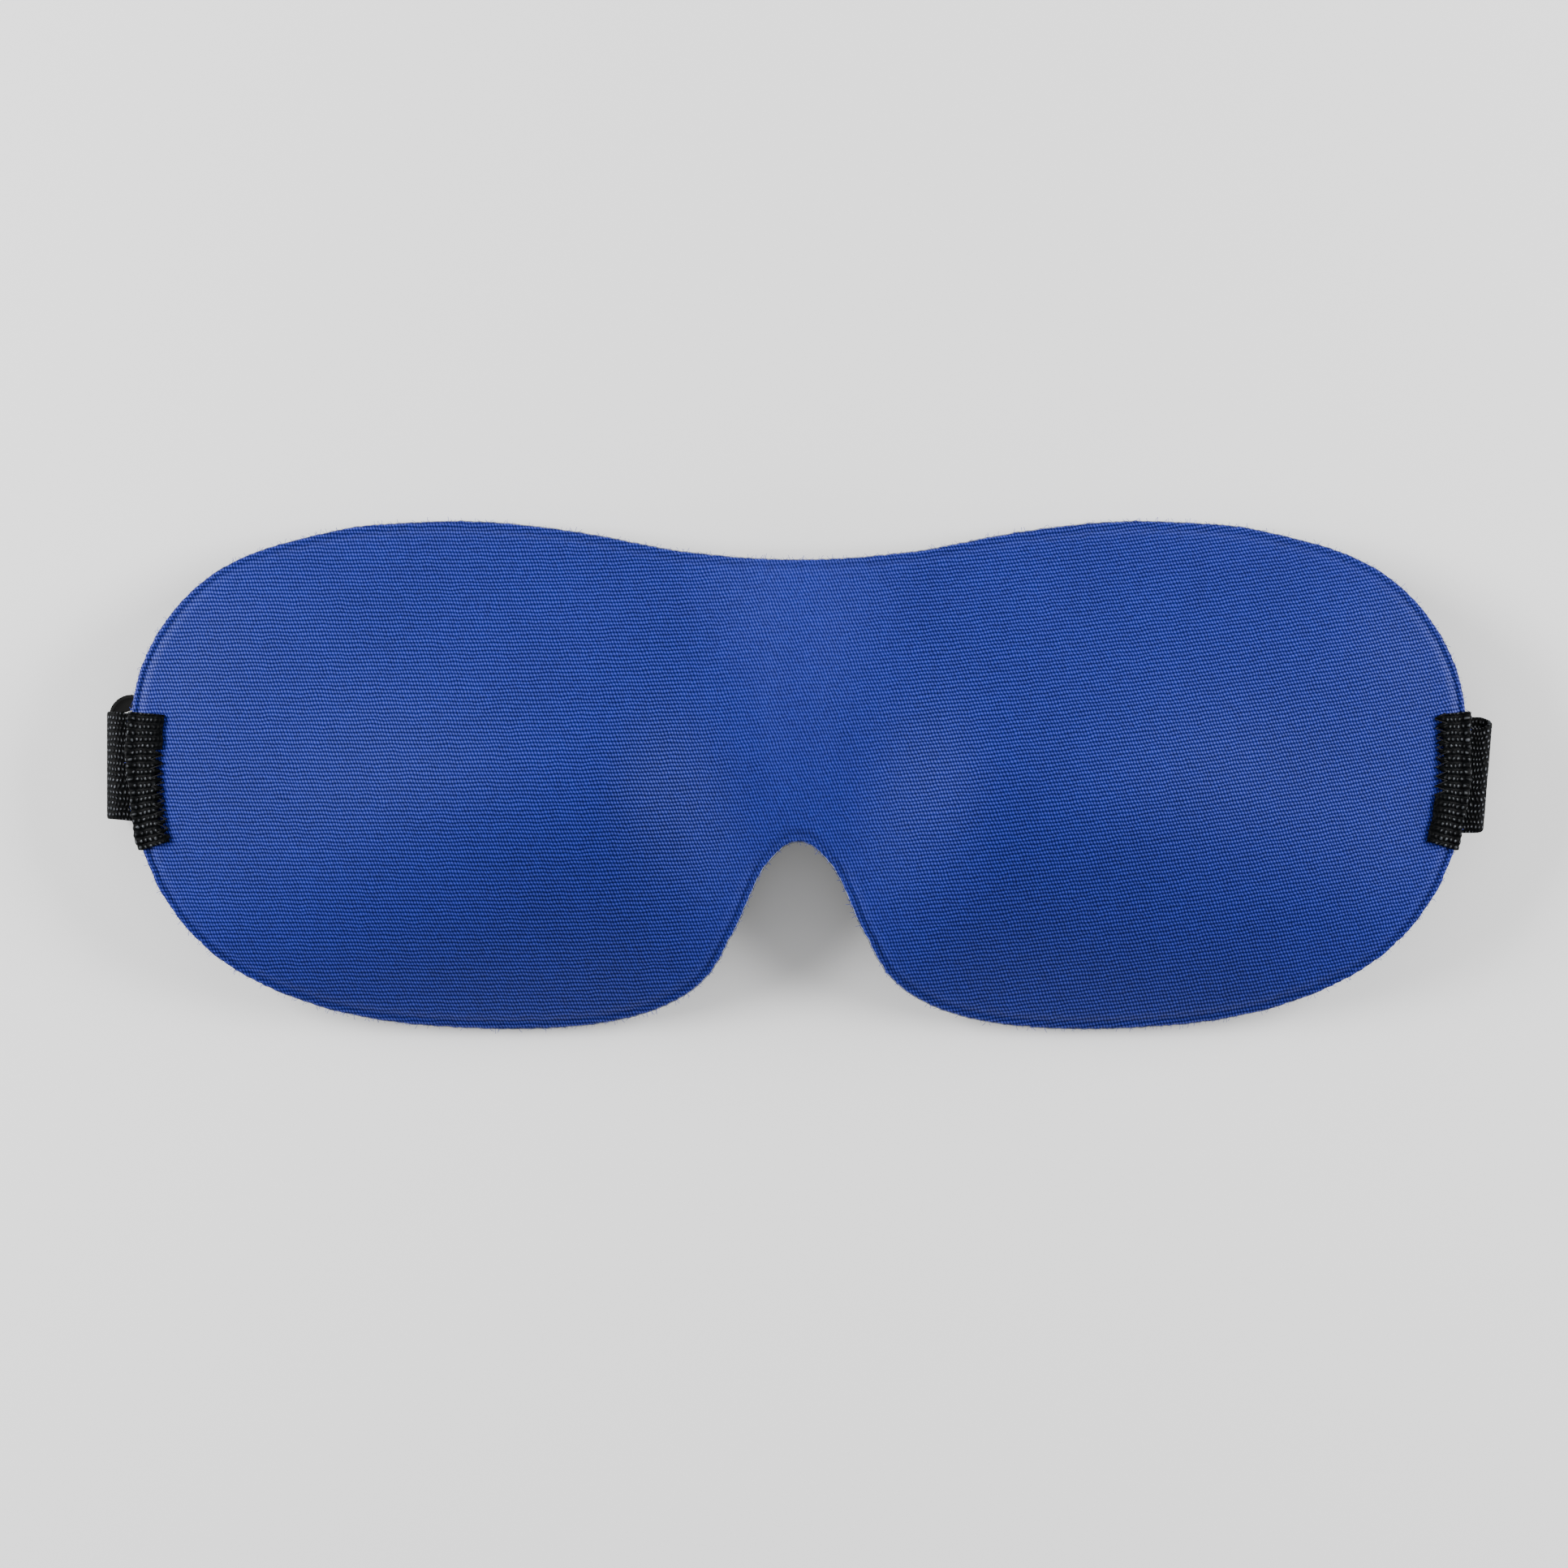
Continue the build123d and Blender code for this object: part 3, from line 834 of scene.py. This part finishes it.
def knit_pattern(tree):
    """Loops of a knit: height from 0 to 1, the place on the cloth, and a number for each stitch."""
    place = add(tree, "ShaderNodeUVMap", uv_map="cloth").outputs[0]
    moved = unsteady(tree, place, 300.0, 2.0, 0.6)
    axes = add(tree, "ShaderNodeSeparateXYZ", {0: moved}).outputs
    rows = wave(tree, axes["Y"], COURSE)
    lean = product(tree, product(tree, axes["Y"], 2 * math.pi / (COURSE * MM)), 0.5)
    loops = wave(tree, axes["X"], WALE, lean)
    row_share = ramp(tree, maths(tree, "ABSOLUTE", axes["X"]), 0.5, 0.78, 5 * MM, 22 * MM)
    rows = maths(tree, "MULTIPLY_ADD", rows, row_share, maths(tree, "SUBTRACT", 1.0, row_share))
    loops = maths(tree, "MULTIPLY_ADD", loops, 0.78, 0.22)
    cells = add(tree, "ShaderNodeTexVoronoi", {"Vector": moved, "Scale": 1 / (WALE * MM)}, feature="F1")
    return product(tree, rows, loops), place, cells.outputs["Color"]


def blue_knit():
    material, tree, shader = new_material("polyester_spandex_tricot_blue", Roughness=0.65)
    shader.inputs["Specular Tint"].default_value = linear("#D2DAFF")
    shader.inputs["Sheen Weight"].default_value = 0.03
    shader.inputs["Sheen Roughness"].default_value = 0.4
    shader.inputs["Sheen Tint"].default_value = linear("#9FB2F0")
    height, place, cells = knit_pattern(tree)
    # Painted shade and painted highlight: the yarn colour is darker in the gaps between the loops and lighter
    # on their tops.
    yarn = mixed(tree, height, "#02062C", "#1C2EA2")
    stitch = add(tree, "ShaderNodeSeparateColor", {0: cells}).outputs[0]
    speckle = ramp(tree, stitch, 0.82, 1.18, 0.0, 1.0)
    cloud = ramp(tree, noise(tree, place, 55.0, 3.0)[0], 0.94, 1.06, 0.3, 0.7)
    # Painted shade: the colour dips to 0.82 along the pressed groove, about 1 mm from the cut edge, and
    # recovers by 0.3 and 2 mm. The speckle and cloud are the stitches' own random tone.
    edge = add(tree, "ShaderNodeAttribute", attribute_name="edge_mm").outputs["Fac"]
    inside = ramp(tree, edge, 0.82, 1.0, 1.1, 2.0)
    outside = ramp(tree, edge, 1.0, 0.82, 0.3, 1.0)
    value = product(tree, product(tree, speckle, cloud), maths(tree, "MAXIMUM", inside, outside))
    tone = add(tree, "ShaderNodeHueSaturation", {"Color": yarn, "Value": value})
    tree.links.new(tone.outputs[0], shader.inputs["Base Color"])
    tree.links.new(ramp(tree, height, 0.04, 0.8, 0.1, 0.9), shader.inputs["Specular IOR Level"])
    relief(tree, shader, height, 0.7, 0.07)
    return material


# %% [markdown]
# ### Black jersey lining, foam, elastic, thread and plastic
# The lining is the same knit, dyed black. The foam is a closed-cell grey pad that shows only as a line in
# the cut edge. The elastic has rubber cores wrapped in dull yarn: ribs across the band with short shiny
# floats. The thread is twisted polyester filament, smoother than the yarn. The plastic is injection-moulded
# acetal, polished by the mould.

# %% Other finishes
def black_lining():
    material, tree, shader = new_material("polyester_jersey_black", Roughness=0.8)
    shader.inputs["Specular IOR Level"].default_value = 0.2
    shader.inputs["Sheen Weight"].default_value = 0.05
    height = knit_pattern(tree)[0]
    # Painted shade and painted highlight: the colour is darker in the gaps between the loops and lighter on
    # their tops.
    colour_between(tree, shader, height, "#08090B", "#1C1E23")
    relief(tree, shader, height, 0.5, 0.12)
    return material


def object_place(tree):
    return add(tree, "ShaderNodeTexCoord").outputs["Object"]


def grey_foam():
    material, tree, shader = new_material("polyurethane_foam_grey", Roughness=0.9)
    cells = {"Vector": object_place(tree), "Scale": 1 / (0.6 * MM)}
    pores = add(tree, "ShaderNodeTexVoronoi", cells, feature="F1").outputs["Distance"]
    # Painted shade: the colour is darker at the centre of each pore, where the cell's hollow lies.
    colour_between(tree, shader, ramp(tree, pores, 0.0, 1.0, 0.1, 0.6), "#3E424C", "#8A909C")
    relief(tree, shader, pores, 0.6, 0.15)
    return material


def woven_elastic(name, rib, cord, dark, light, bare_border):
    """Band with ribs across it and floats of yarn between the rubber cords, past a bare border."""
    material, tree, shader = new_material(name, Roughness=0.6)
    place = add(tree, "ShaderNodeUVMap", uv_map="cloth").outputs[0]
    axes = add(tree, "ShaderNodeSeparateXYZ", {0: unsteady(tree, place, 330.0, 3.0, 1.3)}).outputs
    ribs = wave(tree, axes["Y"], rib)
    rib_number = maths(tree, "SUBTRACT", maths(tree, "DIVIDE", axes["Y"], rib * MM), 0.25)
    rib_number = maths(tree, "ROUND", rib_number)
    cords = wave(tree, axes["X"], cord, product(tree, rib_number, 2.2))
    floats = product(tree, ribs, cords)
    chance = noise(tree, place, 900.0, 1.0)[0]
    shine = product(tree, ramp(tree, floats, 0.0, 1.0, 0.45, 0.95), ramp(tree, chance, 0.15, 1.0, 0.35, 0.65))
    past_border = ramp(tree, axes["X"], 0.0, 1.0, (bare_border - 0.3) * MM, (bare_border + 0.3) * MM)
    shine = product(tree, shine, past_border)
    # Painted highlight: the colour is lighter on the floats that catch the light; the same share raises their
    # specular level below.
    colour_between(tree, shader, shine, dark, light)
    tree.links.new(ramp(tree, shine, 0.04, 0.5, 0.0, 0.8), shader.inputs["Specular IOR Level"])
    relief(tree, shader, floats, 0.7, 0.25)
    return material


def blue_yarn():
    material, tree, shader = new_material("polyester_yarn_blue", Roughness=0.6)
    colour_between(tree, shader, noise(tree, object_place(tree), 900.0, 1.0)[0], "#0B1560", "#2A3CB0")
    return material


def black_thread():
    material, tree, shader = new_material("polyester_thread_black", Roughness=0.6)
    shader.inputs["Specular IOR Level"].default_value = 0.12
    twist = noise(tree, object_place(tree), 2500.0, 2.0)[0]
    colour_between(tree, shader, twist, "#030304", "#0E0F12")
    relief(tree, shader, twist, 0.4, 0.1)
    return material


def black_acetal():
    material, tree, shader = new_material("acetal_moulded_black", IOR=1.48)
    flow = noise(tree, object_place(tree), 300.0, 3.0)[0]
    tree.links.new(ramp(tree, flow, 0.12, 0.26, 0.3, 0.7), shader.inputs["Roughness"])
    colour_between(tree, shader, flow, "#0C0C0C", "#151515")
    return material


knit_material = blue_knit()
lining_material = black_lining()
foam_material = grey_foam()
tab_material = woven_elastic("ribbed_elastic_black", RIB, 0.85, "#030405", "#3D4147", bare_border=1.6)
band_material = woven_elastic("woven_elastic_black", 1.0, 0.62, "#040506", "#41454D", bare_border=-9.0)
thread_material = black_thread()
yarn_material = blue_yarn()
plastic_material = black_acetal()

# %% Seams on the tabs
GUIDE_INSET, REACH_PAST, GUIDE_POINTS = 0.45, 0.5, 60
FALL_ACROSS, FALL_DOWN = -0.1, -0.35  # the thread dips where it goes into the knit


def thread_values(half_pitch, reach, radius):
    """What a zigzag's tree is told, with lengths in millimetres."""
    return {
        zigzag_inputs["Half pitch"]: half_pitch * MM,
        zigzag_inputs["Reach"]: tuple(v * MM for v in reach),
        zigzag_inputs["Thread radius"]: radius * MM,
        zigzag_inputs["Thread"]: thread_material,
    }


def seam_on_tab(name, side, stitched, widths):
    """Zigzag over the tab's toothed border: every second point is the tip of a tooth."""
    edge, normal = temple_edge(side)
    first, last = stitched
    points = []
    for y in np.linspace(first + STITCH / 2, last - STITCH / 2, GUIDE_POINTS):
        k = int(np.argmin(np.abs(edge[:, 1] - y)))
        width = np.interp(k, [0, len(edge)], widths)
        p = edge[k] + normal[k] * (width - TOOTH - GUIDE_INSET)
        points.append((p[0], p[1], on_front(p, TAB)))
    reach = (-side * (TOOTH + REACH_PAST), FALL_ACROSS, FALL_DOWN)
    values = thread_values(STITCH / 2, reach, TAB_THREAD)
    return grown(name, guide_line(name + "_guide", points), zigzag, values, "mask")


left_seam = seam_on_tab("thread_left_tab", -1, LEFT_STITCHED, LEFT_WIDTHS)
right_seam = seam_on_tab("thread_right_tab", 1, RIGHT_STITCHED, RIGHT_WIDTHS)

# %% [markdown]
# ## Loose fibres on the cut edge
# A knife leaves short ends of yarn along a knit's edge. A second node tree scatters them: it takes points
# along the outline, puts a short curved fibre on each, and turns and scales every one differently. The
# knit is a closed sheet, so its fringe is a piece of its own.

# %% Fibre tree
def fibre_tree():
    """Outline in, a fringe of short bent fibres out."""
    inputs = [
        ("Spacing", "NodeSocketFloat", 0.22 * MM),
        ("Fibre length", "NodeSocketFloat", 0.95 * MM),
        ("Fibre radius", "NodeSocketFloat", 0.035 * MM),
        ("Seed", "NodeSocketInt", 4),
        ("Yarn", "NodeSocketMaterial", None),
    ]
    tree, ids, given, line = start_tree("edge_fibres", inputs, "Fringe")
    spots = add(tree, "GeometryNodeCurveToPoints", {"Curve": line, "Length": given["Spacing"]}, mode="LENGTH")
    half = maths(tree, "MULTIPLY", given["Fibre length"], 0.5)
    middle = add(tree, "ShaderNodeCombineXYZ", {"X": half, "Z": half}).outputs[0]
    tip = add(tree, "ShaderNodeCombineXYZ", {"X": given["Fibre length"]}).outputs[0]
    bend = {"Resolution": 4, "Start": (0, 0, 0), "Middle": middle, "End": tip}
    bent = add(tree, "GeometryNodeCurveQuadraticBezier", bend).outputs[0]
    sweep = {"Curve": bent, "Profile Curve": wire_section(tree, 3, given["Fibre radius"])}
    fibre = add(tree, "GeometryNodeCurveToMesh", sweep).outputs[0]
    turns = {0: (-0.7, -1.0, -math.pi), 1: (0.7, 0.5, math.pi), "Seed": given["Seed"]}
    turn = add(tree, "FunctionNodeRandomValue", turns, data_type="FLOAT_VECTOR")
    sizes = {2: 0.4, 3: 1.2, "Seed": given["Seed"]}
    size = add(tree, "FunctionNodeRandomValue", sizes, data_type="FLOAT")
    placing = {"Points": spots.outputs[0], "Instance": fibre}
    placing |= {"Rotation": turn.outputs[0], "Scale": size.outputs[1]}
    placed = add(tree, "GeometryNodeInstanceOnPoints", placing).outputs[0]
    end_tree(tree, placed, given["Yarn"], "Fringe")
    return tree, ids


FRINGE_INSET, FRINGE_DROP = 0.12, 0.35
INNER_ROW = 5  # a row of the plan that gives the inward direction


def outline_loop(inset):
    """Closed line along the cut edge, on top of the foam."""
    rows = ring_plan()[0]
    first, second = rows[0], rows[INNER_ROW]
    step = (second - first) / np.linalg.norm(second - first, axis=1)[:, None]
    plan_line = first + step * inset
    distance = np.full(len(plan_line), inset)
    height = front(plan_line[:, 0], plan_line[:, 1], distance) - FRINGE_DROP
    loop = np.column_stack([plan_line, height])
    return np.concatenate([loop, loop[:1]])


fringe_nodes, fringe_inputs = fibre_tree()
fringe_guide = guide_line("fringe_guide", outline_loop(FRINGE_INSET))
fringe = grown("knit_fringe", fringe_guide, fringe_nodes, {fringe_inputs["Yarn"]: yarn_material}, "mask")

# %% Ring and slider
RING_BEVEL, SLIDER_BEVEL = 0.22, 0.3
SHARP, FLAT = math.radians(35), math.radians(1)  # angles from which an edge is rounded, or kept
BARTACK_HALF_PITCH, BARTACK_REACH, BARTACK_Z = 0.35, 1.7, 2.15


def moulded_copy(node, name, body, radius):
    """Copy of a CAD node with its sharp edges rounded as a mould leaves them."""
    piece = show(bpy.data.objects.new(name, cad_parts[node].data.copy()))
    work = bmesh.new()
    work.from_mesh(piece.data)
    bmesh.ops.remove_doubles(work, verts=work.verts, dist=1e-6)
    bmesh.ops.dissolve_limit(work, angle_limit=FLAT, verts=work.verts, edges=work.edges)
    work.to_mesh(piece.data)
    work.free()
    bevel = piece.modifiers.new("mould radius", "BEVEL")
    bevel.width, bevel.segments, bevel.limit_method, bevel.angle_limit = radius * MM, 3, "ANGLE", SHARP
    piece.data.polygons.foreach_set("use_smooth", [True] * len(piece.data.polygons))
    piece.data.materials.clear()
    piece["ride_on"] = body
    return piece


ring = moulded_copy("strap_ring", "acetal_ring", "ring", RING_BEVEL)
slider = moulded_copy("strap_slider", "acetal_slider", "slider", SLIDER_BEVEL)
bartack_low, bartack_high = box_mm("slider_bartack")
tack_x = (bartack_low[0] + bartack_high[0]) / 2
tack_y = np.linspace(bartack_low[1], bartack_high[1], GUIDE_POINTS)
tack_points = [(tack_x - 0.8, y, BARTACK_Z) for y in tack_y]
tack_values = thread_values(BARTACK_HALF_PITCH, (BARTACK_REACH, 0, 0), BARTACK_THREAD)
bartack = grown("thread_slider_bartack", guide_line("tack_guide", tack_points), zigzag, tack_values, "slider")

# %% [markdown]
# ## Dress and attach
# Each piece gets its material, rides on its CAD body and hides the CAD node that it stands in for. The
# returning layer of the strap gets a mesh of its own.

# %% Attach
knit, foam, lining = (knit_material, "blue_knit"), (foam_material, "foam"), (lining_material, "black_knit")
tab_band, band = (tab_material, "black_elastic"), (band_material, "black_elastic")
thread, plastic = (thread_material, "black_thread"), (plastic_material, "black_plastic")
PIECES = [
    (outer_fabric, "outer_fabric", knit),
    (foam_core, "foam_core", foam),
    (lining_fabric, "lining_fabric", lining),
    (left_tab, "left_edge_tab", tab_band),
    (right_tab, "right_edge_tab", tab_band),
    (left_seam, "left_tab_stitching", thread),
    (right_seam, "right_tab_stitching", thread),
    (anchor_loop, "left_anchor_loop", band),
    (head_strap, "head_strap", band),
    (doubled_run, "strap_doubled_run", band),
    (slider_loop, "strap_slider_loop", band),
    (bartack, "slider_bartack", thread),
    (slider, "strap_slider", plastic),
    (ring, "strap_ring", plastic),
]
for piece, node, (material, slot_name) in PIECES:
    piece.data.materials.clear()
    piece.data.materials.append(material)
    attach(piece, piece["ride_on"])
    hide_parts(node)
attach(fringe, "mask")

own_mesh(doubled_run)

# %% [markdown]
# ## Floor, light and camera
# The mask lies on a plain white surface. Two low soft lights at its sides rake over it and draw the slopes of
# the domes. Weaker soft lights behind and in front fill what they miss. The camera looks straight down.

# %% Studio
FLOOR_HALF = 3
WORLD_LIGHT = 0.36
CAMERA_PLACE, LENS, SENSOR = (-2.57 * MM, -1.64 * MM, 0.660), 85.0, 36.0


def area_light(name, place, size, power):
    """Soft white panel that faces the mask."""
    data = bpy.data.lights.new(name, "AREA")
    data.shape, data.size, data.size_y, data.energy = "RECTANGLE", size[0], size[1], power
    lamp = show(bpy.data.objects.new(name, data))
    lamp.location = place
    lamp.rotation_euler = (-Vector(place)).to_track_quat("-Z", "Y").to_euler()


def floor_plane():
    """Wide pale floor, which isn't part of the object."""
    corners = [(x * FLOOR_HALF, y * FLOOR_HALF, 0) for x, y in ((-1, -1), (1, -1), (1, 1), (-1, 1))]
    mesh = bpy.data.meshes.new("studio_floor")
    mesh.from_pydata(corners, [], [(0, 1, 2, 3)])
    plane = show(bpy.data.objects.new("studio_floor", mesh))
    material, _, shader = new_material("white_paper_floor", Roughness=0.9)
    shader.inputs["Base Color"].default_value = linear("#F4F4F4")
    mesh.materials.append(material)


floor_plane()
area_light("soft_left", (-0.80, 0.2, 0.31), (0.6, 0.3), 19.0)
area_light("soft_right", (0.80, 0.2, 0.31), (0.6, 0.3), 16.5)
area_light("soft_behind", (0.0, 0.85, 0.62), (1.3, 0.35), 1.8)
area_light("soft_front", (0.0, -0.8, 0.42), (1.0, 0.3), 2.2)
world = bpy.data.worlds.new("studio")
world.use_nodes = True
sky = world.node_tree.nodes["Background"].inputs
sky[0].default_value, sky[1].default_value = (1, 1, 1, 1), WORLD_LIGHT
bpy.context.scene.world = world

lens = bpy.data.cameras.new("camera")
lens.lens, lens.sensor_width = LENS, SENSOR
camera = show(bpy.data.objects.new("camera", lens))
camera.location = CAMERA_PLACE
bpy.context.scene.camera = camera
